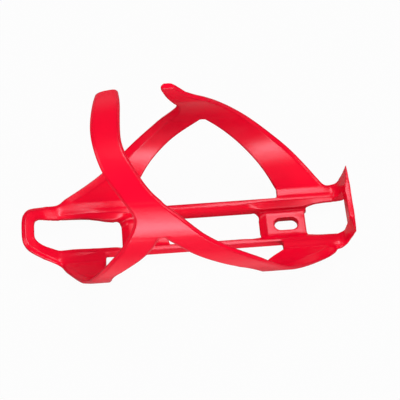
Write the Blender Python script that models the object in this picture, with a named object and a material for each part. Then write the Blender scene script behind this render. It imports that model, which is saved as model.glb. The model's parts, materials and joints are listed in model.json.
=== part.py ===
"""A side-entry water bottle cage of moulded red plastic, lying on its back.

+X runs along the bottle to the base that stops it, -Y is the side of the long arm, and +Z points from
the bicycle's frame to the bottle. The origin is under the middle of the cage, on its rear face.
Lengths are in metres and angles in degrees. Places round the bottle are angles from its lowest line.
"""

import math

import bmesh
import bpy

MM = 0.001

# The bottle and the fit of the cage round it
BOTTLE_RADIUS = 0.03675
BOTTLE_CLEARANCE = 0.00025
BOTTLE_STANDOFF = 0.0064
SEAM = 0.0003

# Walls of the arms, thick at the root and thin at the tips
ROOT_WALL = 0.0032
ARM_WALL = 0.0026
TIP_WALL = 0.0022
ARM_WALL_ANGLE = 80.0
OUTER_CHAMFER = 0.0010
INNER_CHAMFER = 0.0005

# Wide bevels on the arms' inner faces along their free edges, as (width, depth)
LEFT_STRAP_RIM = (0.0046, 0.0019)
LEFT_BRACE_RIM = (0.0024, 0.0011)
RIGHT_STRAP_RIM = (0.0016, 0.0009)
RIGHT_BRACE_RIM = (0.0032, 0.0013)
RIM_FADE_ANGLE = 58.0

# Two rails of the spine; the inner edge as (x, step out from RAIL_INNER, top, bottom) in millimetres
RAIL_OUTER = 0.0116
RAIL_INNER = 0.0071
RAIL_LAND = 0.0016
RAIL_DEPTH = 0.0042
RAIL_STEP = 0.0006
RAIL_STEP_START = -0.0500
RAIL_STEP_END = -0.0360
RAIL_HEAD_X = -0.0600
RAIL_BASE_X = 0.0678
RAIL_INNER_EDGE = [(-60, 0.9, 7.8, 6.4), (-52, 0.8, 7.5, 6.0), (-45, 0.7, 6.8, 5.0), (-38, 0.1, 5.4, 2.9),
                   (-30, 0.0, 5.1, 1.1), (-20, 0.0, 5.1, 1.0), (36, 0.0, 5.1, 1.0), (46, 0.0, 5.1, 1.6),
                   (54, 0.2, 5.0, 3.0), (59, 1.2, 5.7, 4.3), (64, 1.4, 6.0, 4.7), (70, 1.5, 6.2, 4.8)]

# Mount plates with their bolt slots
SLOT_SPACING = 0.0640
SLOT_MIDDLE_X = 0.0130
SLOT_LENGTH = 0.0108
SLOT_WIDTH = 0.0060
SLOT_DRAFT = 0.0002
PLATE_THICKNESS = 0.0031
PLATE_REACH = 0.0091
PLATE_RAMP = 0.0033
PLATE_RAMP_EDGE = 0.0010
PLATE_FILLET = 0.0024
PLATE_FILLET_TURN = 60.0

# Flanges beside the rails, where the arms are rooted
ROOT_ANGLE = 24.5
ROOT_SINK = 0.0009
ROOT_SINK_SPAN = 12.0
BASE_FLANGE_X = 0.0418
LEFT_FLANGE_RUNOUT = 0.0002
RIGHT_FLANGE_RUNOUT = 0.0026
LEFT_HEAD_FLANGE_X = -0.0390
RIGHT_HEAD_FLANGE_X = -0.0262

# Loop at the head: half outlines from the rails' ends to the middle as (x from there, y, height)
LOOP_DEPTH = 0.0030
LOOP_BEVEL = 0.0017
LOOP_BEVEL_DEPTH = 0.0013
LOOP_INNER_DEPTH = 0.0019
LOOP_OUTER = [(0.0, 16.2, 8.7), (-7.5, 13.1, 12.5), (-12.9, 10.8, 15.5), (-15.6, 7.5, 16.4), (-16.3, 3.8, 16.6),
              (-16.4, 0.0, 16.6)]
LOOP_INNER = [(0.0, 8.0, 7.8), (-5.5, 7.2, 10.4), (-8.9, 6.1, 13.2), (-10.4, 4.3, 14.4), (-10.7, 2.2, 14.6),
              (-10.7, 0.0, 14.6)]
LOOP_SPLIT = 2.9
LOOP_SPLIT_GAP = 0.075

# Base: ears that turn up from the rails' ends, with corners as (x from there, height), and the lip between them
EAR_INNER = 0.0090
EAR_WIDTHS = [17.2, 16.8, 16.5, 16.8, 17.3]
EAR_INNER_FRONT = [(0.0, 7.9), (2.1, 9.8), (2.6, 13.4), (3.4, 18.0), (4.3, 21.9)]
EAR_OUTER_FRONT = [(0.0, 7.8), (1.9, 10.2), (3.1, 13.9), (4.2, 18.8), (5.0, 23.2)]
EAR_OUTER_BACK = [(0.0, 5.2), (2.9, 9.2), (4.0, 13.4), (4.8, 18.4), (5.5, 23.0)]
EAR_INNER_BACK = [(0.0, 4.2), (4.7, 5.2), (6.0, 11.4), (6.1, 17.4), (6.1, 21.7)]
LIP_FRONT = 0.0034
LIP_BACK = 0.0061
LIP_BOTTOM = 0.0132
LIP_MIDDLE_TOP = 0.0212
LIP_EDGE_TOP = 0.0219

# Long arm on the left: edges as (angle, x) with x in millimetres
LEFT_STRAP_WINDOW = [(18, 46.0), (32, 37.4), (40, 33.6), (52, 29.9), (64, 27.8), (74, 24.0), (81, 19.4),
                     (88, 12.2), (100, 0.2), (110, -7.6), (118, -14.0)]
LEFT_STRAP_OUTER = [(18, 67.8), (24, 67.3), (28, 66.6), (33, 64.4), (42, 57.2), (52, 49.6), (62, 43.6),
                    (75, 37.2), (86, 31.8), (96, 24.0), (106, 14.0), (116, 4.8), (130, -5.0), (140, -12.6)]
LEFT_HUB = [(117, -28.4), (125, -25.6), (130, -24.8), (134, -25.5), (140, -28.0)]
LEFT_BRACE_HEAD = [(18, -61.4), (28, -58.7), (42, -53.8), (60, -48.6), (80, -43.2), (98, -36.6), (110, -31.1),
                   (118, -28.1)]
LEFT_BRACE_WINDOW = [(18, -34.6), (23, -38.2), (29, -39.5), (40, -38.2), (60, -36.7), (78, -34.5), (87, -31.0),
                     (100, -22.6), (110, -17.2), (118, -14.6)]
LEFT_APEX_ANGLE = 117.6
FINGER_HEAD = [(138, -27.2), (146, -30.6), (160, -36.1), (177, -39.5), (194, -40.6), (218, -39.3), (236, -37.3)]
FINGER_BASE = [(138, -10.8), (148, -17.4), (166, -24.4), (179, -27.6), (192, -28.0), (218, -27.5), (236, -28.2)]
FINGER_ANGLE = 140.0
FINGER_TIP_ANGLE = 232.5
FINGER_FLARE_ANGLE = 190.0
FINGER_FLARE = 0.0052
FINGER_TIP_ROUND = (0.0018, 0.0007)

# Short arm on the right
RIGHT_STRAP_WINDOW = [(18, 43.6), (32, 38.8), (43, 34.2), (52, 29.6), (64, 22.7), (77, 14.2), (84, 9.2)]
RIGHT_STRAP_OUTER = [(18, 71.0), (28, 62.4), (36, 58.2), (52, 49.0), (66, 39.6), (81, 29.8), (96, 20.0),
                     (106, 13.8), (115, 8.6)]
RIGHT_HUB = [(82, -12.2), (90, -6.8), (96, -3.6), (101, -2.6), (106, -3.2), (114, -5.8)]
RIGHT_BRACE_HEAD = [(18, -65.6), (26, -58.4), (33, -49.4), (45, -37.2), (61, -25.8), (79, -13.6), (84, -10.8)]
RIGHT_BRACE_WINDOW = [(18, -28.8), (25, -26.0), (41, -20.0), (52, -14.8), (67, -5.3), (78, 3.9), (84, 8.8)]
RIGHT_APEX_ANGLE = 83.4
RIGHT_TIP_HEAD = [(106, -3.2), (114, -5.4), (120, -7.8), (127, -10.4)]
RIGHT_TIP_BASE = [(106, 13.8), (112, 10.7), (116, 6.8), (120, 2.2), (127, -4.0)]
RIGHT_TIP_ANGLE = 111.0
RIGHT_TIP_END = 126.0
RIGHT_FLARE = 0.0059
RIGHT_TIP_ROUND = (0.0010, 0.0008)

STATION_STEP = 5.0
HUB_STEP = 0.6

# Finish of the moulding
PLASTIC_COLOR = (0.78, 0.006, 0.018, 1.0)
PLASTIC_ROUGHNESS = 0.34

LEFT, RIGHT = -1, 1
CAGE_RADIUS = BOTTLE_RADIUS + BOTTLE_CLEARANCE
AXIS_HEIGHT = BOTTLE_STANDOFF + CAGE_RADIUS
BASE_X = RAIL_BASE_X + SEAM
MIDDLE_X = (RAIL_HEAD_X + LOOP_OUTER[-1][0] * MM + BASE_X + LIP_BACK) / 2


def clear_scene():
    for thing in list(bpy.data.objects):
        bpy.data.objects.remove(thing, do_unlink=True)


def smooth_value(points, place):
    """The value at a place on a smooth curve through (place, value) points."""
    last = len(points) - 1
    index = 0
    while index < last - 1 and points[index + 1][0] <= place:
        index += 1

    def slope(i):
        before, after = points[max(i - 1, 0)], points[min(i + 1, last)]
        return (after[1] - before[1]) / (after[0] - before[0])

    (start, low), (end, high) = points[index], points[index + 1]
    span = end - start
    t = (place - start) / span
    rise, fall = slope(index) * span, slope(index + 1) * span
    return (low * (1 + 2 * t) * (1 - t) ** 2 + rise * t * (1 - t) ** 2
            + high * t * t * (3 - 2 * t) + fall * t * t * (t - 1))


def fade(place, start, end):
    t = min(max((place - start) / (end - start), 0.0), 1.0)
    return t * t * (3 - 2 * t)


def seat_height(y):
    """Height of the inner cylinder at a distance y from the middle plane."""
    return AXIS_HEIGHT - math.sqrt(CAGE_RADIUS ** 2 - y ** 2)


def round_bottle(side, x, angle, radius):
    turn = math.radians(angle)
    return (x, side * radius * math.sin(turn), AXIS_HEIGHT - radius * math.cos(turn))


def half_seam_angle():
    return math.degrees(SEAM / 2 / CAGE_RADIUS)


def red_plastic(name):
    material = bpy.data.materials.new("red_plastic_" + name)
    material.use_nodes = True
    shader = material.node_tree.nodes["Principled BSDF"]
    shader.inputs["Base Color"].default_value = PLASTIC_COLOR
    shader.inputs["Roughness"].default_value = PLASTIC_ROUGHNESS
    shader.inputs["Metallic"].default_value = 0.0
    material.diffuse_color = PLASTIC_COLOR
    return material


def add_part(name, mesh_data, origin=(0.0, 0.0, 0.0)):
    """One sub-part from a bmesh in place, with its origin moved to its reference point.

    The tables count places along the bottle from one datum, and the cage's middle becomes the origin here.
    """
    bmesh.ops.recalc_face_normals(mesh_data, faces=mesh_data.faces)
    bmesh.ops.translate(mesh_data, verts=mesh_data.verts, vec=[-value for value in origin])
    mesh = bpy.data.meshes.new(name)
    mesh_data.to_mesh(mesh)
    mesh_data.free()
    mesh.shade_smooth()
    mesh.set_sharp_from_angle(angle=math.radians(30))
    mesh.materials.append(red_plastic(name))
    part = bpy.data.objects.new(name, mesh)
    part.location = (origin[0] - MIDDLE_X, origin[1], origin[2])
    bpy.context.scene.collection.objects.link(part)
    return part


def loft(rings):
    """A closed solid through rings of points, capped at both ends."""
    solid = bmesh.new()
    rows = [[solid.verts.new(point) for point in ring] for ring in rings]
    for row, following in zip(rows, rows[1:]):
        for i in range(len(row)):
            j = (i + 1) % len(row)
            solid.faces.new((row[i], row[j], following[j], following[i]))
    solid.faces.new(rows[0])
    solid.faces.new(rows[-1])
    return solid


# Spine: rails and mount plates


def rail_ring(side, x):
    spread, inner_top, inner_bottom = [
        smooth_value([(row[0], row[column]) for row in RAIL_INNER_EDGE], x / MM) * MM for column in (1, 2, 3)]
    top = seat_height(RAIL_OUTER) - RAIL_STEP * fade(x, RAIL_STEP_START, RAIL_STEP_END)
    inner = RAIL_INNER + spread
    section = [(RAIL_OUTER, top), (RAIL_OUTER - RAIL_LAND, top), (inner, inner_top), (inner, inner_bottom),
               (RAIL_OUTER, top - RAIL_DEPTH)]
    return [(x, side * y, z) for y, z in section]


def add_rail(name, side):
    bends = [row[0] * MM for row in RAIL_INNER_EDGE[1:-1]]
    places = [RAIL_HEAD_X + SEAM]
    for start, end in zip(bends, bends[1:]):
        places += [start, (start + end) / 2]
    places += [bends[-1], RAIL_BASE_X]
    add_part(name, loft([rail_ring(side, x) for x in places]))


def slot_outline(x, height, grow):
    """A slot's outline round x: two half circles joined by straight sides."""
    radius = SLOT_WIDTH / 2 + grow
    reach = (SLOT_LENGTH - SLOT_WIDTH) / 2
    outline = []
    for i in range(24):
        turn = math.radians(15 * i + 7.5)
        shift = reach if math.cos(turn) > 0 else -reach
        outline.append((x + shift + radius * math.cos(turn), radius * math.sin(turn), height))
    return outline


def plate_ring(x, y, half):
    """Section along a mount plate, longer beside the rails, where round fillets join it to them."""
    reach = PLATE_FILLET * math.sin(math.radians(PLATE_FILLET_TURN))
    left = max(abs(y) - (half - reach), 0.0)
    longer = PLATE_FILLET - math.sqrt(PLATE_FILLET ** 2 - left ** 2)
    start, end = x - PLATE_REACH - longer, x + PLATE_REACH + longer
    profile = [(start - PLATE_RAMP, 0.0), (end, 0.0), (end, PLATE_THICKNESS), (start, PLATE_THICKNESS),
               (start - PLATE_RAMP, PLATE_RAMP_EDGE)]
    return [(px, y, pz) for px, pz in profile]


def add_mount_plate(name, x):
    half = RAIL_INNER - SEAM
    turns = [math.radians(PLATE_FILLET_TURN * i / 4) for i in range(5)]
    steps = [half - PLATE_FILLET * (math.sin(turns[-1]) - math.sin(turn)) for turn in turns]
    places = [-y for y in reversed(steps)] + steps
    plate = add_part(name, loft([plate_ring(x, y, half) for y in places]))
    past = PLATE_THICKNESS
    rings = [slot_outline(x, -past, -2 * SLOT_DRAFT), slot_outline(x, 2 * past, 2 * SLOT_DRAFT)]
    cutter = add_part(name + "_slot_cutter", loft(rings))
    cutter.hide_render = True
    cutter.display_type = "WIRE"
    cut = plate.modifiers.new("slot", "BOOLEAN")
    cut.operation = "DIFFERENCE"
    cut.solver = "EXACT"
    cut.object = cutter


# Flanges


def flange_ring(side, x, spread):
    """Section from the rail to the arm's root, spread out to the ear's width towards the base."""
    near = RAIL_OUTER + SEAM
    top = seat_height(RAIL_OUTER)
    angle = ROOT_ANGLE - half_seam_angle()
    ear_width = EAR_WIDTHS[0] * MM
    outline = [(x, side * near, top)]
    root = inner_radius(ROOT_ANGLE)
    for radius, corner in ((root, EAR_OUTER_FRONT[0]), (root + ROOT_WALL, EAR_OUTER_BACK[0])):
        _, y, z = round_bottle(side, x, angle, radius)
        outline.append((x, y + (side * ear_width - y) * spread, z + (corner[1] * MM - z) * spread))
    return outline + [(x, side * near, top - RAIL_DEPTH)]


def add_head_flange(name, side, end):
    add_part(name, loft([flange_ring(side, x, 0.0) for x in (RAIL_HEAD_X + SEAM, end)]))


def add_base_flange(name, side, runout):
    arm_end = RAIL_BASE_X - runout
    rings = [flange_ring(side, BASE_FLANGE_X, 0.0)]
    for t in (0.0, 0.25, 0.5, 0.75, 1.0):
        x = arm_end + (RAIL_BASE_X - arm_end) * t
        rings.append(flange_ring(side, x, fade(t, 0.0, 1.0)))
    add_part(name, loft(rings))


# Head loop


def loop_point(points, step, side):
    x, y, z = [smooth_value([(i, point[axis]) for i, point in enumerate(points)], step) for axis in range(3)]
    return (RAIL_HEAD_X + x * MM, side * y * MM, z * MM)


def loop_ring(step, side):
    outer, inner = loop_point(LOOP_OUTER, step, side), loop_point(LOOP_INNER, step, side)
    width = math.dist(outer[:2], inner[:2])
    top = [a + (b - a) * LOOP_BEVEL / width for a, b in zip(outer, inner)]
    under_inner = (inner[0], inner[1], inner[2] - LOOP_INNER_DEPTH)
    under_outer = (outer[0], outer[1], outer[2] - LOOP_DEPTH)
    bevelled = (outer[0], outer[1], outer[2] - LOOP_BEVEL_DEPTH)
    return [bevelled, top, inner, under_inner, under_outer]


def add_head_strut(name, side):
    end = LOOP_SPLIT - LOOP_SPLIT_GAP
    add_part(name, loft([loop_ring(end * i / 8, side) for i in range(9)]))


def add_head_crossbar(name):
    start, middle = LOOP_SPLIT + LOOP_SPLIT_GAP, len(LOOP_OUTER) - 1
    half = [start + (middle - start) * i / 6 for i in range(7)]
    rings = [loop_ring(step, LEFT) for step in half]
    rings += [loop_ring(step, RIGHT) for step in reversed(half[:-1])]
    add_part(name, loft(rings))


# Base ears and lip


def profile_point(points, step):
    return [smooth_value([(i, point[axis]) for i, point in enumerate(points)], step) * MM for axis in range(2)]


def add_base_ear(name, side):
    rings = []
    for i in range(9):
        step = (len(EAR_WIDTHS) - 1) * i / 8
        width = smooth_value(list(enumerate(EAR_WIDTHS)), step) * MM
        corners = ((EAR_INNER, EAR_INNER_FRONT), (width, EAR_OUTER_FRONT), (width, EAR_OUTER_BACK),
                   (EAR_INNER, EAR_INNER_BACK))
        ring = []
        for y, points in corners:
            x, z = profile_point(points, step)
            ring.append((BASE_X + x, side * y, z))
        rings.append(ring)
    add_part(name, loft(rings))


def add_base_lip(name):
    half = EAR_INNER - SEAM
    front, back = BASE_X + LIP_FRONT, BASE_X + LIP_BACK
    rings = []
    for y in (-half, -half / 2, 0.0, half / 2, half):
        top = LIP_MIDDLE_TOP + (LIP_EDGE_TOP - LIP_MIDDLE_TOP) * abs(y) / half
        rings.append([(front, y, LIP_BOTTOM), (front, y, top), (back, y, top), (back, y, LIP_BOTTOM)])
    add_part(name, loft(rings))


# Arms


def inner_radius(angle):
    """Radius of the arms' inner faces, which start a little outside the bottle at the root."""
    return CAGE_RADIUS + ROOT_SINK * (1.0 - fade(angle, ROOT_ANGLE, ROOT_ANGLE + ROOT_SINK_SPAN))


def wall_at(angle):
    if angle < ARM_WALL_ANGLE:
        return ROOT_WALL + (ARM_WALL - ROOT_WALL) * fade(angle, ROOT_ANGLE, ARM_WALL_ANGLE)
    return ARM_WALL + (TIP_WALL - ARM_WALL) * fade(angle, ARM_WALL_ANGLE, FINGER_TIP_ANGLE)


def edge_slope(edge, angle):
    """How far an edge runs along the bottle for each length that it climbs round it."""
    step = 0.5
    run = edge(angle + step) - edge(angle - step)
    return run / (CAGE_RADIUS * math.radians(2 * step))


def plain_rim(angle):
    return (INNER_CHAMFER, INNER_CHAMFER)


def fading_rim(rim, start, end):
    """A rim that narrows to the plain inner chamfer between two angles."""

    def at(angle):
        left = 1.0 - fade(angle, start, end)
        return [INNER_CHAMFER + (size - INNER_CHAMFER) * left for size in rim]

    return at


def arm_ring(side, angle, head_edge, base_edge, flare, head_rim=plain_rim, base_rim=plain_rim):
    """A section across an arm in the plane through the bottle's axis, with bevelled corners."""
    head, base = head_edge(angle), base_edge(angle)
    widest = 0.3 * (base - head)
    head_run = math.hypot(1.0, edge_slope(head_edge, angle))
    base_run = math.hypot(1.0, edge_slope(base_edge, angle))
    inner = inner_radius(angle) + flare(angle)
    outer = inner + wall_at(angle)
    deepest = wall_at(angle) - OUTER_CHAMFER - INNER_CHAMFER
    corners = []
    for x, run, turn, rim in ((head, head_run, 1, head_rim), (base, base_run, -1, base_rim)):
        width, depth = rim(angle)
        depth = min(depth, deepest)
        inner_cut = turn * min(width * run, widest)
        outer_cut = turn * min(OUTER_CHAMFER * run, widest)
        corners.append([(x + outer_cut, outer), (x, outer - OUTER_CHAMFER), (x, inner + depth),
                        (x + inner_cut, inner)])
    section = corners[0] + list(reversed(corners[1]))
    return [round_bottle(side, x, angle, radius) for x, radius in section]


def edge(points):
    return lambda angle: smooth_value(points, angle) * MM


def angles_between(start, end):
    count = max(1, math.ceil((end - start) / STATION_STEP))
    return [start + (end - start) * i / count for i in range(count + 1)]


def no_flare(angle):
    return 0.0


def hinge_point(side, angle):
    return round_bottle(side, 0.0, angle, inner_radius(angle) + wall_at(angle) / 2)


def add_strap(name, side, window, outer, hub, apex, end, outer_rim, hub_rim):
    """The strap from its root, past the window's apex, where the hub takes in the brace's width."""
    window_edge, outer_edge, hub_edge = edge(window), edge(outer), edge(hub)
    gap = half_seam_angle()
    base_rim, head_rim = fading_rim(outer_rim, RIM_FADE_ANGLE, end - gap), fading_rim(hub_rim, apex, end - gap)
    rings = [arm_ring(side, angle, window_edge, outer_edge, no_flare, base_rim=base_rim)
             for angle in angles_between(ROOT_ANGLE + gap, apex)]
    rings += [arm_ring(side, angle, hub_edge, outer_edge, no_flare, head_rim, base_rim)
              for angle in angles_between(apex + HUB_STEP, end - gap)]
    add_part(name, loft(rings), hinge_point(side, ROOT_ANGLE))


def add_brace(name, side, head, window, apex, rim):
    head_edge, window_edge = edge(head), edge(window)
    gap = half_seam_angle()
    head_rim = fading_rim(rim, apex, apex + HUB_STEP)
    rings = [arm_ring(side, angle, head_edge, window_edge, no_flare, head_rim=head_rim)
             for angle in angles_between(ROOT_ANGLE + gap, apex - gap)]
    add_part(name, loft(rings), hinge_point(side, ROOT_ANGLE))


def rounded_edge(points, tip, radius, turn):
    """An edge whose corner at the tip is rounded off."""
    plain = edge(points)

    def at(angle):
        left = CAGE_RADIUS * math.radians(max(tip - angle, 0.0))
        short = max(radius - left, 0.0)
        return plain(angle) + turn * (radius - math.sqrt(max(radius ** 2 - short ** 2, 0.0)))

    return at


def tip_angles(start, tip, radius):
    """Stations that crowd together where the tip's corners are round."""
    turn = math.degrees(radius / CAGE_RADIUS)
    last = [tip - turn * (1 - math.sin(math.radians(18 * i))) for i in range(6)]
    return angles_between(start, tip - turn)[:-1] + last


def add_tip(name, side, head, base, start, tip, rounds, flare, pivot):
    head_edge = rounded_edge(head, tip, rounds[0], 1)
    base_edge = rounded_edge(base, tip, rounds[1], -1)
    places = tip_angles(start + half_seam_angle(), tip, max(rounds))
    rings = [arm_ring(side, angle, head_edge, base_edge, flare) for angle in places]
    add_part(name, loft(rings), pivot)


def finger_flare(angle):
    t = max(angle - FINGER_FLARE_ANGLE, 0.0) / (FINGER_TIP_ANGLE - FINGER_FLARE_ANGLE)
    return FINGER_FLARE * t * t


def right_flare(angle):
    t = max(angle - RIGHT_TIP_ANGLE, 0.0) / (RIGHT_TIP_END - RIGHT_TIP_ANGLE)
    return RIGHT_FLARE * t * t


def main():
    clear_scene()
    add_rail("left_rail", LEFT)
    add_rail("right_rail", RIGHT)
    add_mount_plate("upper_mount_plate", SLOT_MIDDLE_X - SLOT_SPACING / 2)
    add_mount_plate("lower_mount_plate", SLOT_MIDDLE_X + SLOT_SPACING / 2)
    add_head_flange("left_head_flange", LEFT, LEFT_HEAD_FLANGE_X)
    add_head_flange("right_head_flange", RIGHT, RIGHT_HEAD_FLANGE_X)
    add_base_flange("left_base_flange", LEFT, LEFT_FLANGE_RUNOUT)
    add_base_flange("right_base_flange", RIGHT, RIGHT_FLANGE_RUNOUT)
    add_head_strut("left_head_strut", LEFT)
    add_head_strut("right_head_strut", RIGHT)
    add_head_crossbar("head_crossbar")
    add_base_ear("left_base_ear", LEFT)
    add_base_ear("right_base_ear", RIGHT)
    add_base_lip("base_lip")
    add_strap("left_arm_strap", LEFT, LEFT_STRAP_WINDOW, LEFT_STRAP_OUTER, LEFT_HUB, LEFT_APEX_ANGLE,
              FINGER_ANGLE, LEFT_STRAP_RIM, LEFT_BRACE_RIM)
    add_brace("left_arm_brace", LEFT, LEFT_BRACE_HEAD, LEFT_BRACE_WINDOW, LEFT_APEX_ANGLE, LEFT_BRACE_RIM)
    add_tip("left_arm_finger", LEFT, FINGER_HEAD, FINGER_BASE, FINGER_ANGLE, FINGER_TIP_ANGLE, FINGER_TIP_ROUND,
            finger_flare, hinge_point(LEFT, FINGER_ANGLE))
    add_strap("right_arm_strap", RIGHT, RIGHT_STRAP_WINDOW, RIGHT_STRAP_OUTER, RIGHT_HUB, RIGHT_APEX_ANGLE,
              RIGHT_TIP_ANGLE, RIGHT_STRAP_RIM, RIGHT_BRACE_RIM)
    add_brace("right_arm_brace", RIGHT, RIGHT_BRACE_HEAD, RIGHT_BRACE_WINDOW, RIGHT_APEX_ANGLE, RIGHT_BRACE_RIM)
    add_tip("right_arm_tip", RIGHT, RIGHT_TIP_HEAD, RIGHT_TIP_BASE, RIGHT_TIP_ANGLE, RIGHT_TIP_END,
            RIGHT_TIP_ROUND, right_flare, hinge_point(RIGHT, ROOT_ANGLE))


main()
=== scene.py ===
# %% [markdown]
# # A bottle cage in red plastic
# The real cage is a single moulding: two rails that bolt to the bicycle, a loop at the head, a stop at the
# base, and two arms that wrap round the bottle. The CAD model holds its solids with fine gaps between them.
# We load that model first. It is a fixed frame, so every piece we make goes where the solids already are.

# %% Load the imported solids
import json
import math

import bpy
import numpy as np
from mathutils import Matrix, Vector

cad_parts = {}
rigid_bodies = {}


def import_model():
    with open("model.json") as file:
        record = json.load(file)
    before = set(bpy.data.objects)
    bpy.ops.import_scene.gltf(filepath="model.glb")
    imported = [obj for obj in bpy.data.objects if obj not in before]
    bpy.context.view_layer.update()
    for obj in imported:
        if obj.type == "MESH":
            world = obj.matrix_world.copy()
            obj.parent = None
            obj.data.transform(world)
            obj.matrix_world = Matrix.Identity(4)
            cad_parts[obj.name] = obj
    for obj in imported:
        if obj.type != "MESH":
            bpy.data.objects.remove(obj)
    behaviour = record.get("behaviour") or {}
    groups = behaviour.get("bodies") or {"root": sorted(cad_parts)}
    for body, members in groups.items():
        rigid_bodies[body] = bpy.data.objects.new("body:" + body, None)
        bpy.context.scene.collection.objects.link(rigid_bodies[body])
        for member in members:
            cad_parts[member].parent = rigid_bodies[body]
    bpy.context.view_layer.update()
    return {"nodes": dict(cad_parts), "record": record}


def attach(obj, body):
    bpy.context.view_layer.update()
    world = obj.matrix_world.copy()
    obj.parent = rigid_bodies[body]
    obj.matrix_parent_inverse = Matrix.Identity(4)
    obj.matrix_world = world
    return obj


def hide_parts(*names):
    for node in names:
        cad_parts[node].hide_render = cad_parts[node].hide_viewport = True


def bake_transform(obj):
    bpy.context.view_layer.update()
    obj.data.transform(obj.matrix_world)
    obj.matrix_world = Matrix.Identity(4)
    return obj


bpy.ops.object.select_all(action="SELECT")
bpy.ops.object.delete()
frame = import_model()
nodes = frame["nodes"]

# %% [markdown]
# ## The camera
# The cage lies on its back and is seen from above its long arm, from a steep 60 degrees. A long lens far away
# gives the flat perspective of a shop picture. We place the camera by two angles and a distance from a point
# near the middle of the cage, which is easier to correct than typing a location and three rotations.

# %% Place the camera
AIM = Vector((0.00415, 0.0, 0.0282))
CAMERA_TURN = math.radians(4.6)
CAMERA_RISE = math.radians(60.0)
CAMERA_DISTANCE = 0.600

back = Vector((-math.sin(CAMERA_TURN) * math.cos(CAMERA_RISE), -math.cos(CAMERA_TURN) * math.cos(CAMERA_RISE),
               math.sin(CAMERA_RISE)))
bpy.ops.object.select_all(action="DESELECT")
bpy.ops.object.camera_add(location=AIM + back * CAMERA_DISTANCE)
camera = bpy.context.object
camera.name = "shop_camera"
camera.rotation_euler = (-back).to_track_quat("-Z", "Y").to_euler()
camera.data.sensor_width = 36.0
camera.data.lens = 120.8
camera.data.shift_x = 0.00975
camera.data.shift_y = 0.00675
camera.data.clip_start = 0.01
camera.data.dof.use_dof = False
bpy.context.scene.camera = camera
print("camera at mm:", [round(v * 1000, 1) for v in camera.location])

# %% [markdown]
# ## Smooth copies of the solids
# The CAD solids are made of flat strips. A moulded arm has none, so each solid is copied, its loose triangles
# are merged and turned back into quads, and its sharp edges are creased. A Subdivision Surface then rounds the
# strips along their length but keeps the creased corners. The solids themselves stay as they are.

# %% Copy one solid and smooth its strips
MERGE_DISTANCE = 1e-6
QUAD_FLATNESS = math.radians(20)
QUAD_SKEW = math.radians(80)
CREASE_ANGLE = math.radians(12)
STRIP_LEVELS = 2


def only(obj):
    bpy.ops.object.select_all(action="DESELECT")
    obj.select_set(True)
    bpy.context.view_layer.objects.active = obj


def smooth_copy(name):
    copy = bpy.data.objects.new("blank_" + name, nodes[name].data.copy())
    bpy.context.scene.collection.objects.link(copy)
    only(copy)
    bpy.ops.object.mode_set(mode="EDIT")
    bpy.ops.mesh.select_all(action="SELECT")
    bpy.ops.mesh.remove_doubles(threshold=MERGE_DISTANCE)
    bpy.ops.mesh.tris_convert_to_quads(face_threshold=QUAD_FLATNESS, shape_threshold=QUAD_SKEW)
    bpy.ops.mesh.select_mode(type="EDGE")
    bpy.ops.mesh.select_all(action="DESELECT")
    bpy.ops.mesh.edges_select_sharp(sharpness=CREASE_ANGLE)
    bpy.ops.transform.edge_crease(value=1.0)
    bpy.ops.object.mode_set(mode="OBJECT")
    strips = copy.modifiers.new("strips", "SUBSURF")
    strips.levels = strips.render_levels = STRIP_LEVELS
    bpy.ops.object.modifier_apply(modifier=strips.name)
    return copy


blanks = [smooth_copy(name) for name in sorted(nodes)]
print("smooth copies:", len(blanks), "faces:", sum(len(blank.data.polygons) for blank in blanks))

# %% [markdown]
# ## One moulding
# In the mould all of these are one body, with no seams and with a small round in every corner. We join the
# copies, swell them a little so that the fine gaps close, and let a voxel remesh melt them into one skin.

# %% Join the copies and melt them together
SWELL = 0.00032
VOXEL = 0.00034

bpy.ops.object.select_all(action="DESELECT")
for blank in blanks:
    blank.select_set(True)
bpy.context.view_layer.objects.active = blanks[0]
bpy.ops.object.join()
skin = bpy.context.object
skin.name = "moulding"
bpy.ops.object.mode_set(mode="EDIT")
bpy.ops.mesh.select_all(action="SELECT")
bpy.ops.transform.shrink_fatten(value=SWELL, use_even_offset=False)
bpy.ops.object.mode_set(mode="OBJECT")
melt = skin.modifiers.new("melt", "REMESH")
melt.mode = "VOXEL"
melt.voxel_size = VOXEL
bpy.ops.object.modifier_apply(modifier=melt.name)
print("one skin:", len(skin.data.polygons), "faces")

# %% Keep the one large body and drop any crumb beside it
bpy.ops.object.mode_set(mode="EDIT")
bpy.ops.mesh.select_mode(type="VERT")
bpy.ops.mesh.select_all(action="DESELECT")
bpy.ops.object.mode_set(mode="OBJECT")
max(skin.data.vertices, key=lambda vertex: vertex.co.z).select = True
bpy.ops.object.mode_set(mode="EDIT")
bpy.ops.mesh.select_linked()
bpy.ops.mesh.select_all(action="INVERT")
bpy.ops.mesh.delete(type="VERT")
bpy.ops.object.mode_set(mode="OBJECT")
print("after the crumbs:", len(skin.data.polygons), "faces")

# %% [markdown]
# ## Rounding, as the mould does
# A mould has small rounds on its outer edges and larger ones in its inner corners, and its broad faces are
# perfectly fair. One smoothing for all would blunt the edges before the faces are fair. So we measure how much
# the skin bends at each point, turn that into vertex groups, and give each group its own Smooth modifier.

# %% Measure how the skin bends
def points_of(obj):
    values = np.empty(len(obj.data.vertices) * 3)
    obj.data.vertices.foreach_get("co", values)
    return values.reshape(-1, 3)


def normals_of(obj):
    values = np.empty(len(obj.data.vertices) * 3)
    obj.data.vertices.foreach_get("normal", values)
    return values.reshape(-1, 3)


def edges_of(obj):
    values = np.empty(len(obj.data.edges) * 2, np.int64)
    obj.data.edges.foreach_get("vertices", values)
    return values.reshape(-1, 2)


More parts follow.
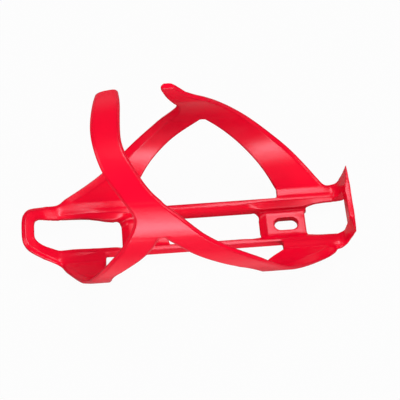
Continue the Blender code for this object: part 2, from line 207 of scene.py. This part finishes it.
def neighbour_mean(values, ends):
    """The mean over each point's neighbours, for a list of numbers."""
    first = np.concatenate([ends[:, 0], ends[:, 1]])
    second = np.concatenate([ends[:, 1], ends[:, 0]])
    count = np.bincount(first, minlength=len(values))
    return np.bincount(first, weights=values[second], minlength=len(values)) / np.maximum(count, 1)


def spread(values, ends, rounds):
    for _ in range(rounds):
        values = (values + neighbour_mean(values, ends)) / 2
    return values


def hollowness(obj):
    """How far each point lies below its neighbours, in voxels: above 0 in a corner, below 0 on an edge."""
    points, ends = points_of(obj), edges_of(obj)
    middle = np.stack([neighbour_mean(points[:, axis], ends) for axis in range(3)], axis=1)
    return ((middle - points) * normals_of(obj)).sum(axis=1) / VOXEL, ends


WEIGHT_LEVELS = 25


def smooth_group(obj, name, weights, rounds):
    group = obj.vertex_groups.new(name=name)
    levels = np.round(weights * WEIGHT_LEVELS).astype(int)
    for level in range(1, WEIGHT_LEVELS + 1):
        group.add(np.nonzero(levels == level)[0].tolist(), level / WEIGHT_LEVELS, "REPLACE")
    smooth = obj.modifiers.new(name, "SMOOTH")
    smooth.factor = 0.5
    smooth.iterations = rounds
    smooth.vertex_group = name
    only(obj)
    bpy.ops.object.modifier_apply(modifier=smooth.name)
    obj.vertex_groups.remove(obj.vertex_groups[name])


# %% Round the edges a little, the corners more, and make the faces fair
EDGE_ROUNDS = 5
CORNER_ROUNDS = 60
FACE_ROUNDS = 8
BEND_GAIN = 14
BEND_SPREAD = 6
CORNER_GAIN = 2.2
SHARP_GAIN = 2.6

smooth_group(skin, "edges", np.ones(len(skin.data.vertices)), EDGE_ROUNDS)
hollow, ends = hollowness(skin)
corner = np.clip(spread(np.clip(hollow * BEND_GAIN, 0, 1), ends, BEND_SPREAD) * CORNER_GAIN, 0, 1)
sharp = np.clip(spread(np.clip(-hollow * BEND_GAIN, 0, 1), ends, BEND_SPREAD) * SHARP_GAIN, 0, 1)
smooth_group(skin, "corners", corner, CORNER_ROUNDS)
smooth_group(skin, "faces", np.clip(1 - sharp - corner, 0, 1), FACE_ROUNDS)
print("points in corners:", int((corner > 0.5).sum()), "on edges:", int((sharp > 0.5).sum()))

# %% [markdown]
# ## Where the members meet
# At the arm roots, at the corners of the plates and on the bends of the long arm, several solids or strips meet,
# and the melted skin has creases there that a moulding has not. In sculpt mode one would brush them away by hand.
# Here each stroke is a place and a radius, and its weight falls off towards the rim.

# %% Brush over the places where members meet
BRUSH_ROUNDS = 140
BRUSH_FIRMNESS = 1.6
JUNCTIONS = [((0.0685, -0.0168, 0.0082), 0.0095), ((0.0680, 0.0168, 0.0080), 0.0060),
             ((-0.0580, -0.0140, 0.0084), 0.0080), ((-0.0589, 0.0135, 0.0080), 0.0055),
             ((-0.0383, -0.0143, 0.0086), 0.0032)]
PLATE_CORNERS = [((-0.0311, 0.0069, 0.0018), 0.0028), ((-0.0311, -0.0069, 0.0018), 0.0028),
                 ((0.0336, 0.0062, 0.0012), 0.0028), ((0.0336, -0.0062, 0.0012), 0.0028)]
ARM_BENDS = [((0.0287, -0.0385, 0.0340), 0.0100), ((-0.0352, -0.0385, 0.0345), 0.0080),
             ((-0.0460, -0.0350, 0.0265), 0.0070)]

points = points_of(skin)
brush = np.zeros(len(points))
for place, radius in JUNCTIONS + PLATE_CORNERS + ARM_BENDS:
    away = np.linalg.norm(points - np.array(place), axis=1) / radius
    brush = np.maximum(brush, np.clip(BRUSH_FIRMNESS - BRUSH_FIRMNESS * away, 0, 1))
smooth_group(skin, "junctions", brush, BRUSH_ROUNDS)
print("points under the brush:", int((brush > 0.5).sum()))

# %% Take the swelling off again
only(skin)
bpy.ops.object.mode_set(mode="EDIT")
bpy.ops.mesh.select_all(action="SELECT")
bpy.ops.transform.shrink_fatten(value=-SWELL, use_even_offset=False)
bpy.ops.object.mode_set(mode="OBJECT")
points = points_of(skin)
print("skin in mm:", (points.min(axis=0) * 1000).round(2), (points.max(axis=0) * 1000).round(2))

# %% [markdown]
# ## The finger's turned face
# The long finger shows no sheen on its broad face, and its base side shows a pale edge. We take the face to be
# turned a few degrees towards the head, which is a guess. The outer face is lowered little by little from the
# base side to the head side and the inner face is left. Turning the whole finger would lift it off the bottle.

# %% Turn the finger's outer face
AXIS_HEIGHT = 0.0434
INNER_RADIUS = 0.0370
FINGER_WALL = 0.0023
FINGER_WIDTH = 0.014
FINGER_FROM, FINGER_TO = 138, 233.2
FLARE_FROM, FLARE_SPAN = 190, 42.5
FINGER_FLARE = 0.0052
TURN = math.radians(5.5)
TURN_FROM, TURN_FULL = 140, 168
SIDE_CURVE_DEGREE = 5


def round_bottle(points):
    """Angles round the bottle's axis from its lowest line, positive towards the long arm."""
    return np.arctan2(-points[:, 1], AXIS_HEIGHT - points[:, 2])


def ramp(values, start, end):
    t = np.clip((values - start) / (end - start), 0, 1)
    return t * t * (3 - 2 * t)


points = points_of(skin)
angles = np.degrees(round_bottle(points)) % 360
finger = (angles > FINGER_FROM) & (angles < FINGER_TO)
bins = np.floor(angles[finger]).astype(int)
base_side = {place: points[finger][bins == place, 0].max() for place in np.unique(bins)}
base_curve = np.poly1d(np.polyfit(list(base_side.keys()), list(base_side.values()), SIDE_CURVE_DEGREE))

reach = np.hypot(points[:, 1], points[:, 2] - AXIS_HEIGHT)
inner = INNER_RADIUS + FINGER_FLARE * np.clip((angles - FLARE_FROM) / FLARE_SPAN, 0, 1) ** 2
share = np.clip((reach - inner) / FINGER_WALL, 0, 1) * ramp(angles, TURN_FROM, TURN_FULL) * finger
drop = math.tan(TURN) * np.clip(base_curve(angles) - points[:, 0], 0, FINGER_WIDTH) * share
points[:, 1] *= 1 - drop / reach
points[:, 2] = AXIS_HEIGHT + (points[:, 2] - AXIS_HEIGHT) * (1 - drop / reach)
skin.data.vertices.foreach_set("co", points.ravel())
skin.data.update()
print("finger lowered by up to mm:", round(drop.max() * 1000, 2))

# %% [markdown]
# ## The rails' inner sides
# Between the two plates the far rail of the real cage has a pale land and below it one broad, dark, steep side.
# We take the near rail to be its mirror image. The solids have a narrower land, a slope and a wall there. So we
# slide the skin across each rail, height by height, until the slope and the wall become one steep side, and then
# smooth the old bend away. Modelling the rails afresh would lose their blends into the plates and the ends.

# %% Steepen the rails' inner sides
RAIL_OUTER = 0.0116
RAIL_INNER = 0.0071
OLD_LAND, NEW_LAND = 0.0016, 0.0026
LAND_TOP, OLD_BEND, SIDE_FOOT = 0.00766, 0.0051, 0.0010
RAIL_CLEAR = 0.0095
FILLET_REACH = 0.0012
WALL_SLACK = 0.0001
STEEP_FROM, STEEP_TO = (-0.034, -0.026), (0.024, 0.038)
STEEP_ROUNDS = 40
BEND_BELOW, BEND_ABOVE = (0.0036, 0.0044), (0.0060, 0.0068)
LAND_CLEAR = 0.0020

points = points_of(skin)
out, height = np.abs(points[:, 1]), points[:, 2]
old_rise = np.clip((height - OLD_BEND) / (LAND_TOP - OLD_BEND), 0, 1)
new_rise = np.clip((height - SIDE_FOOT) / (LAND_TOP - SIDE_FOOT), 0, 1)
old_side = RAIL_INNER + (RAIL_OUTER - OLD_LAND - RAIL_INNER) * old_rise
new_side = RAIL_INNER + (RAIL_OUTER - NEW_LAND - RAIL_INNER) * new_rise
slid = RAIL_OUTER - (RAIL_OUTER - out) * (RAIL_OUTER - new_side) / (RAIL_OUTER - old_side)
on_rail = (out < RAIL_OUTER) & (height < RAIL_CLEAR)
along = ramp(points[:, 0], *STEEP_FROM) * (1 - ramp(points[:, 0], *STEEP_TO))
weight = along * ramp(out, RAIL_INNER - FILLET_REACH, RAIL_INNER - WALL_SLACK) * on_rail
points[:, 1] += np.sign(points[:, 1]) * (slid - out) * weight
skin.data.vertices.foreach_set("co", points.ravel())
skin.data.update()
bend = ramp(height, *BEND_BELOW) * (1 - ramp(height, *BEND_ABOVE)) * (out < RAIL_OUTER - LAND_CLEAR)
smooth_group(skin, "steep_sides", weight * bend, STEEP_ROUNDS)
print("rails moved by up to mm:", round(np.abs((slid - out) * weight).max() * 1000, 2))

# %% [markdown]
# ## Where the painted shade goes
# The plastic's colour will be painted a little darker on edges and in inner corners, as painted shade. How much
# the skin bends tells both apart from the broad faces, so we measure that once more and store it on the skin as
# two attributes. It is done before the skin is cut, because a cut end would count as an edge and show as a dark
# line.

# %% Store where the painted shade goes on edges and in corners
SHADE_GAIN = 9
EDGE_SHADE_SPREAD = 3
CORNER_SHADE_SPREAD = 5


def store(obj, name, values):
    attribute = obj.data.attributes.new(name, "FLOAT", "POINT")
    attribute.data.foreach_set("value", values.astype(np.float32))


hollow, ends = hollowness(skin)
# The edge and corner values are the masks for painted shade on edges and in inner corners.
store(skin, "edge", spread(np.clip(-hollow * SHADE_GAIN, 0, 1), ends, EDGE_SHADE_SPREAD))
store(skin, "corner", spread(np.clip(hollow * SHADE_GAIN, 0, 1), ends, CORNER_SHADE_SPREAD))
print("stored on the skin:", [name for name in ("edge", "corner") if name in skin.data.attributes])

# %% [markdown]
# ## Cutting the skin at its flexing lines
# The arms of the real cage flex at their roots, and the long finger flexes where it leaves its hub. The skin is
# cut there with Bisect, on planes through the bottle's axis, into one piece for each body.

# %% Cut the skin along the flexing lines
ROOT_ANGLE = math.radians(24.5)
FINGER_ANGLE = math.radians(140.0)
BASE_STOP_X = 0.0690
STOP_BAND = 0.002
NEAR = math.radians(4)


def face_centres(obj):
    values = np.empty(len(obj.data.polygons) * 3)
    obj.data.polygons.foreach_get("center", values)
    return values.reshape(-1, 3)


def select_faces(obj, chosen):
    only(obj)
    bpy.ops.object.mode_set(mode="EDIT")
    bpy.ops.mesh.select_mode(type="FACE")
    bpy.ops.mesh.select_all(action="DESELECT")
    bpy.ops.object.mode_set(mode="OBJECT")
    obj.data.polygons.foreach_set("select", chosen)
    bpy.ops.object.mode_set(mode="EDIT")


def cut(obj, chosen, point, normal):
    select_faces(obj, chosen)
    bpy.ops.mesh.bisect(plane_co=point, plane_no=normal)
    bpy.ops.object.mode_set(mode="OBJECT")


def across(angle):
    """The direction round the bottle at an angle, square to the plane through its axis there."""
    return Vector((0.0, -math.cos(angle), math.sin(angle)))


axis_point = Vector((0.0, 0.0, AXIS_HEIGHT))
for angle in (ROOT_ANGLE, -ROOT_ANGLE, FINGER_ANGLE):
    turned = round_bottle(face_centres(skin))
    cut(skin, np.abs(turned - angle) < NEAR, axis_point, across(angle))
centres = face_centres(skin)
by_the_stop = (np.abs(centres[:, 0] - BASE_STOP_X) < STOP_BAND) & (np.abs(round_bottle(centres)) > ROOT_ANGLE)
cut(skin, by_the_stop, Vector((BASE_STOP_X, 0.0, 0.0)), Vector((1.0, 0.0, 0.0)))
print("faces after the cuts:", len(skin.data.polygons))

# %% Separate the pieces and close their cut ends
RIGHT_END = math.radians(-127.0)
SHADE_ANGLE = math.radians(50)


def take(obj, chosen, name):
    select_faces(obj, chosen)
    before = set(bpy.data.objects)
    bpy.ops.mesh.separate(type="SELECTED")
    bpy.ops.object.mode_set(mode="OBJECT")
    piece = (set(bpy.data.objects) - before).pop()
    piece.name = name
    return piece


def close_ends(obj):
    only(obj)
    bpy.ops.object.mode_set(mode="EDIT")
    bpy.ops.mesh.select_all(action="SELECT")
    bpy.ops.mesh.fill_holes(sides=0)
    bpy.ops.mesh.select_all(action="SELECT")
    bpy.ops.mesh.normals_make_consistent(inside=False)
    bpy.ops.object.mode_set(mode="OBJECT")
    bpy.ops.object.shade_smooth_by_angle(angle=SHADE_ANGLE)


def on_finger(centres):
    turned = round_bottle(centres)
    return (turned > FINGER_ANGLE) | (turned < RIGHT_END)


def on_left_arm(centres):
    return (round_bottle(centres) > ROOT_ANGLE) & (centres[:, 0] < BASE_STOP_X)


def on_right_arm(centres):
    return (round_bottle(centres) < -ROOT_ANGLE) & (centres[:, 0] < BASE_STOP_X)


finger = take(skin, on_finger(face_centres(skin)), "long_finger")
left_arm = take(skin, on_left_arm(face_centres(skin)), "long_arm")
right_arm = take(skin, on_right_arm(face_centres(skin)), "short_arm")
spine = skin
spine.name = "bolt_on_back"
pieces = [spine, left_arm, finger, right_arm]
for piece in pieces:
    close_ends(piece)
    print(piece.name, "faces:", len(piece.data.polygons))

# %% [markdown]
# ## Red plastic
# The cage is glossy dyed plastic straight from the mould: a deep clean red, with a very fine texture that
# spreads each reflection. Shade gathers in thin dark lines along its edges and inner corners, and it is painted
# there: both get a darker red, as painted shade. A line painted by place would not follow the rounds, so the two
# attributes that we stored on the skin darken the colour there. A faint cloud also varies the red at random
# towards a deeper tone, which is the plastic's own colour.

# %% Mix the plastic
PLASTIC_RED = (0.84, 0.0003, 0.0225, 1.0)
# Painted shade: the darker red for the edges.
EDGE_SHADE_RED = (0.30, 0.0002, 0.0100, 1.0)
# Painted shade in the inner corners; the same red is also the random deeper tone of the plastic.
DEEP_TONE_AND_CORNER_SHADE_RED = (0.50, 0.0002, 0.0170, 1.0)
SHADE_SHARE = 0.85


def node(tree, kind, **settings):
    made = tree.nodes.new(kind)
    for name, value in settings.items():
        setattr(made, name, value)
    return made


def moulded_plastic():
    material = bpy.data.materials.new("moulded_red_plastic")
    material.use_nodes = True
    tree = material.node_tree
    shader = tree.nodes["Principled BSDF"]
    shader.inputs["Metallic"].default_value = 0.0
    shader.inputs["IOR"].default_value = 1.46
    shader.inputs["Specular IOR Level"].default_value = 0.30
    shader.inputs["Specular Tint"].default_value = (1.0, 0.88, 1.0, 1.0)
    place = node(tree, "ShaderNodeTexCoord")

    # A faint cloud varies the red at random towards a deeper tone, which is the plastic's own colour.
    cloud = node(tree, "ShaderNodeTexNoise")
    cloud.inputs["Scale"].default_value = 55.0
    cloud.inputs["Detail"].default_value = 3.0
    tree.links.new(place.outputs["Object"], cloud.inputs["Vector"])
    tint = node(tree, "ShaderNodeMapRange")
    tint.inputs["From Min"].default_value = 0.3
    tint.inputs["From Max"].default_value = 0.7
    tint.inputs["To Min"].default_value = 0.0
    tint.inputs["To Max"].default_value = 0.10
    tree.links.new(cloud.outputs["Fac"], tint.inputs["Value"])
    body = node(tree, "ShaderNodeMix", data_type="RGBA")
    body.inputs["A"].default_value = PLASTIC_RED
    body.inputs["B"].default_value = DEEP_TONE_AND_CORNER_SHADE_RED
    tree.links.new(tint.outputs["Result"], body.inputs["Factor"])

    # Painted shade: the edges get a darker red.
    edge = node(tree, "ShaderNodeAttribute", attribute_name="edge")
    edge_shade_share = node(tree, "ShaderNodeMath", operation="MULTIPLY")
    edge_shade_share.inputs[1].default_value = SHADE_SHARE
    tree.links.new(edge.outputs["Fac"], edge_shade_share.inputs[0])
    edge_shaded = node(tree, "ShaderNodeMix", data_type="RGBA")
    edge_shaded.inputs["B"].default_value = EDGE_SHADE_RED
    tree.links.new(edge_shade_share.outputs["Value"], edge_shaded.inputs["Factor"])
    tree.links.new(body.outputs["Result"], edge_shaded.inputs["A"])

    # Painted shade: the inner corners get a darker red.
    corner = node(tree, "ShaderNodeAttribute", attribute_name="corner")
    corner_shade_share = node(tree, "ShaderNodeMath", operation="MULTIPLY")
    corner_shade_share.inputs[1].default_value = SHADE_SHARE
    tree.links.new(corner.outputs["Fac"], corner_shade_share.inputs[0])
    corner_shaded = node(tree, "ShaderNodeMix", data_type="RGBA")
    corner_shaded.inputs["B"].default_value = DEEP_TONE_AND_CORNER_SHADE_RED
    tree.links.new(corner_shade_share.outputs["Value"], corner_shaded.inputs["Factor"])
    tree.links.new(edge_shaded.outputs["Result"], corner_shaded.inputs["A"])
    tree.links.new(corner_shaded.outputs["Result"], shader.inputs["Base Color"])

    grain = node(tree, "ShaderNodeTexNoise")
    grain.inputs["Scale"].default_value = 2600.0
    grain.inputs["Detail"].default_value = 2.0
    tree.links.new(place.outputs["Object"], grain.inputs["Vector"])
    satin = node(tree, "ShaderNodeMapRange")
    satin.inputs["To Min"].default_value = 0.21
    satin.inputs["To Max"].default_value = 0.28
    tree.links.new(grain.outputs["Fac"], satin.inputs["Value"])
    tree.links.new(satin.outputs["Result"], shader.inputs["Roughness"])
    bump = node(tree, "ShaderNodeBump")
    bump.inputs["Strength"].default_value = 0.12
    bump.inputs["Distance"].default_value = 0.00008
    tree.links.new(grain.outputs["Fac"], bump.inputs["Height"])
    tree.links.new(bump.outputs["Normal"], shader.inputs["Normal"])
    return material


plastic = moulded_plastic()
for piece in pieces:
    piece.data.materials.clear()
    piece.data.materials.append(plastic)
print("plastic nodes:", len(plastic.node_tree.nodes))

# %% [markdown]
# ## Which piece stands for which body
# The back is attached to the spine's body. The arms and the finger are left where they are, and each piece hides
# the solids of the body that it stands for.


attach(spine, "spine")
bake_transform(left_arm)
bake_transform(right_arm)
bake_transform(finger)

groups = frame["record"]["behaviour"]["bodies"]
for piece, body in ((spine, "spine"), (left_arm, "left_arm"), (finger, "left_finger"), (right_arm, "right_arm")):
    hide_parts(*groups[body])
    print(piece.name, "stands for", len(groups[body]), "solids")

# %% [markdown]
# ## Floor and light
# The picture is a cut-out on plain white. The floor is a pale sheet that shows nearly white to the camera and
# keeps a soft shadow. Glossy plastic shows the lamps themselves, so there are four soft boxes, each for one
# sheen: a pair at the sides for the colour, a high one behind for the level faces and a low one in front for
# the arms. One large lamp overhead would lay the same sheen over everything. A strip of the floor in front is
# pale in reflections, as a white card laid there would be, and it lightens the long arm's outer side.

# %% Lay the floor
FLOOR_SIZE = 6.0
FLOOR_GAP = 0.0004
CARD_MIDDLE = 0.082
CARD_HALF = 0.022
CARD_FADE = 0.042
CARD_WHITE = 1.00
FLOOR_DARK = 0.02
WHITE_SHARE = 0.965
PAPER_GREY = 0.30

bpy.ops.object.select_all(action="DESELECT")
bpy.ops.mesh.primitive_plane_add(size=FLOOR_SIZE, location=(0.0, 0.0, -FLOOR_GAP))
floor = bpy.context.object
floor.name = "pale_floor"
paper = bpy.data.materials.new("pale_paper")
paper.use_nodes = True
tree = paper.node_tree
tree.nodes.clear()
seen = node(tree, "ShaderNodeLightPath")
place = node(tree, "ShaderNodeTexCoord")
parts = node(tree, "ShaderNodeSeparateXYZ")
tree.links.new(place.outputs["Object"], parts.inputs["Vector"])
forward = node(tree, "ShaderNodeMath", operation="ADD")
forward.inputs[1].default_value = CARD_MIDDLE
tree.links.new(parts.outputs["Y"], forward.inputs[0])
away = node(tree, "ShaderNodeMath", operation="ABSOLUTE")
tree.links.new(forward.outputs["Value"], away.inputs[0])
card = node(tree, "ShaderNodeMapRange", interpolation_type="SMOOTHSTEP")
card.inputs["From Min"].default_value = CARD_HALF
card.inputs["From Max"].default_value = CARD_FADE
card.inputs["To Min"].default_value = CARD_WHITE
card.inputs["To Max"].default_value = FLOOR_DARK
tree.links.new(away.outputs["Value"], card.inputs["Value"])
faint = node(tree, "ShaderNodeMath", operation="MULTIPLY")
tree.links.new(card.outputs["Result"], faint.inputs[1])
tree.links.new(seen.outputs["Is Glossy Ray"], faint.inputs[0])
direct = node(tree, "ShaderNodeMath", operation="MAXIMUM")
tree.links.new(seen.outputs["Is Camera Ray"], direct.inputs[0])
tree.links.new(faint.outputs["Value"], direct.inputs[1])
share = node(tree, "ShaderNodeMath", operation="MULTIPLY")
share.inputs[1].default_value = WHITE_SHARE
tree.links.new(direct.outputs["Value"], share.inputs[0])
matt = node(tree, "ShaderNodeBsdfDiffuse")
matt.inputs["Color"].default_value = (PAPER_GREY, PAPER_GREY, PAPER_GREY, 1.0)
glow = node(tree, "ShaderNodeEmission")
mixed = node(tree, "ShaderNodeMixShader")
tree.links.new(share.outputs["Value"], mixed.inputs["Fac"])
tree.links.new(matt.outputs["BSDF"], mixed.inputs[1])
tree.links.new(glow.outputs["Emission"], mixed.inputs[2])
tree.links.new(mixed.outputs["Shader"], node(tree, "ShaderNodeOutputMaterial").inputs["Surface"])
floor.data.materials.append(paper)
print("floor:", FLOOR_SIZE, "m across, nodes:", len(tree.nodes))

# %% [markdown]
# ## The room
# The camera sees only white above the floor. Reflections see a room that is bright at its foot and dark above,
# and everything else gets an even grey light. A picture of a real studio could be wrapped round the scene too,
# but a few nodes on the direction of the ray do the same with nothing to load.

# %% Fill the room with light
ROOM_LEVEL = 0.29
WALL_FOOT, WALL_TOP = 0.02, 0.24
FOOT_WHITE, TOP_DARK = 1.0, 0.08

scene = bpy.context.scene
scene.view_settings.view_transform = "Standard"
world = bpy.data.worlds.new("white_room")
scene.world = world
world.use_nodes = True
tree = world.node_tree
tree.nodes.clear()
seen = node(tree, "ShaderNodeLightPath")
direct = node(tree, "ShaderNodeMath", operation="MAXIMUM")
tree.links.new(seen.outputs["Is Camera Ray"], direct.inputs[0])
tree.links.new(seen.outputs["Is Glossy Ray"], direct.inputs[1])
clear = node(tree, "ShaderNodeMath", operation="MAXIMUM")
tree.links.new(direct.outputs["Value"], clear.inputs[0])
tree.links.new(seen.outputs["Is Transmission Ray"], clear.inputs[1])
way = node(tree, "ShaderNodeTexCoord")
parts = node(tree, "ShaderNodeSeparateXYZ")
tree.links.new(way.outputs["Generated"], parts.inputs["Vector"])
walls = node(tree, "ShaderNodeMapRange")
walls.inputs["From Min"].default_value = WALL_FOOT
walls.inputs["From Max"].default_value = WALL_TOP
walls.inputs["To Min"].default_value = FOOT_WHITE
walls.inputs["To Max"].default_value = TOP_DARK
tree.links.new(parts.outputs["Z"], walls.inputs["Value"])
shown = node(tree, "ShaderNodeMath", operation="MAXIMUM")
tree.links.new(walls.outputs["Result"], shown.inputs[0])
tree.links.new(seen.outputs["Is Camera Ray"], shown.inputs[1])
level = node(tree, "ShaderNodeMix")
level.inputs["A"].default_value = ROOM_LEVEL
tree.links.new(clear.outputs["Value"], level.inputs["Factor"])
tree.links.new(shown.outputs["Value"], level.inputs["B"])
sky = node(tree, "ShaderNodeBackground")
tree.links.new(level.outputs["Result"], sky.inputs["Strength"])
tree.links.new(sky.outputs["Background"], node(tree, "ShaderNodeOutputWorld").inputs["Surface"])
print("room nodes:", len(tree.nodes))

# %% [markdown]
# ## The soft boxes
# Each lamp is a rectangle turned towards the middle of the cage. The front one is not even: the sheen that it
# lays on the arms is strongest low down, fades out at its foot and ends in a clear line at its top. So its
# strength follows the height on the lamp's own face.

# %% Hang the soft boxes
FOOT_START, FOOT_END = 0.0, 0.30
FOOT_STRENGTH = 0.05
TOP_START, TOP_END = 0.42, 0.66
TOP_STRENGTH = 0.38


def soft_lamp(name, place, size, watts):
    bpy.ops.object.select_all(action="DESELECT")
    bpy.ops.object.light_add(type="AREA", location=place)
    lamp = bpy.context.object
    lamp.name = name
    lamp.data.shape = "RECTANGLE"
    lamp.data.size, lamp.data.size_y = size
    lamp.data.energy = watts
    lamp.rotation_euler = (Vector(place) - AIM).to_track_quat("Z", "Y").to_euler()
    return lamp


def change_of_strength(tree, height, start, end, below, above):
    """A smooth change between two heights on the lamp, given as parts of its height."""
    change = node(tree, "ShaderNodeMapRange", interpolation_type="SMOOTHSTEP")
    change.inputs["From Min"].default_value = start
    change.inputs["From Max"].default_value = end
    change.inputs["To Min"].default_value = below
    change.inputs["To Max"].default_value = above
    tree.links.new(height, change.inputs["Value"])
    return change.outputs["Result"]


def glow_low(lamp):
    """Makes the lamp brightest in its lower half, soft at its foot and weaker above."""
    lamp.data.use_nodes = True
    tree = lamp.data.node_tree
    spot = node(tree, "ShaderNodeNewGeometry")
    parts = node(tree, "ShaderNodeSeparateXYZ")
    tree.links.new(spot.outputs["Parametric"], parts.inputs["Vector"])
    foot = change_of_strength(tree, parts.outputs["Y"], FOOT_START, FOOT_END, FOOT_STRENGTH, 1.0)
    top = change_of_strength(tree, parts.outputs["Y"], TOP_START, TOP_END, 1.0, TOP_STRENGTH)
    glow = node(tree, "ShaderNodeMath", operation="MULTIPLY")
    tree.links.new(foot, glow.inputs[0])
    tree.links.new(top, glow.inputs[1])
    tree.links.new(glow.outputs["Value"], tree.nodes["Emission"].inputs["Strength"])


soft_lamp("right_softbox", (0.60, 0.10, 0.70), (0.40, 0.40), 2.2)
soft_lamp("left_softbox", (-0.60, 0.08, 0.70), (0.40, 0.40), 2.0)
soft_lamp("back_softbox", (0.10, 0.29, 0.88), (0.30, 0.42), 4.2)
front = soft_lamp("front_softbox", (0.0, -0.855, 0.272), (0.50, 0.48), 11.0)
glow_low(front)
